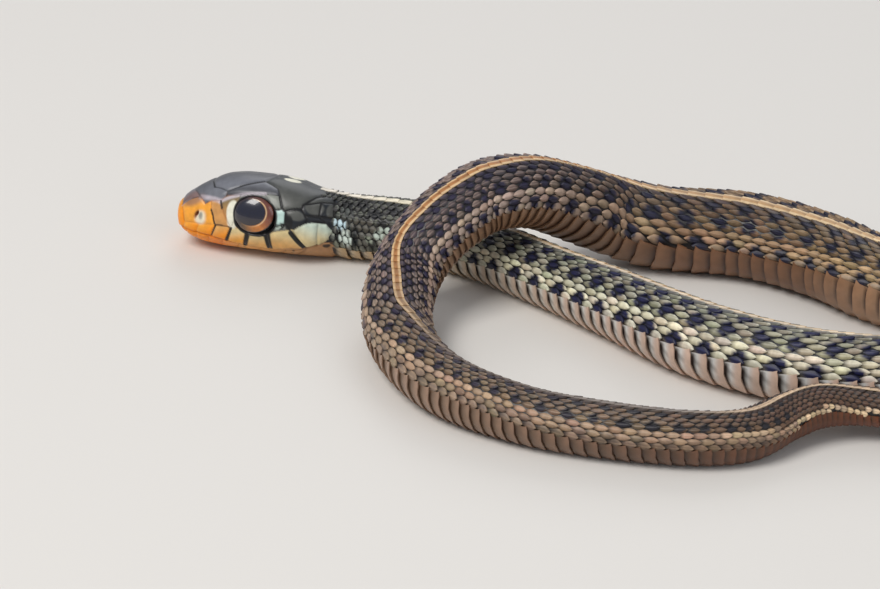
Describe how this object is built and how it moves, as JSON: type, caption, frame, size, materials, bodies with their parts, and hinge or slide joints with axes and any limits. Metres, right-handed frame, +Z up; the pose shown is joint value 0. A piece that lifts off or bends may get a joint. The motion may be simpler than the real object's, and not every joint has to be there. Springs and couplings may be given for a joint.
{
  "type": "garter snake, life-size still model",
  "caption": "Young checkered garter snake lying in a loose loop, its body passing once over its own neck, as a still life-size model.",
  "frame": {"origin": "middle of the snake's box on the floor that it lies on", "axes": "+Z up from the floor, -X the way the head points, -Y towards the side that the head's left cheek faces"},
  "size_m": [0.0992, 0.0372, 0.0104],
  "materials": {
    "skin": "dry keeled scales with a soft sheen, dark spots and a pale belly edge",
    "eye": "wet gloss over a copper iris and a round black pupil"
  },
  "bodies": {
    "root": {"head": "skin", "eye_left": "eye", "eye_right": "eye", "neck": "skin", "fore_body": "skin", "fore_turn": "skin", "outer_turn": "skin", "far_turn": "skin", "far_body": "skin", "arch_rise": "skin", "arch_fall": "skin", "left_bend": "skin", "rear_body": "skin", "tail_base": "skin", "tail_tip": "skin"}
  },
  "joints": []
}
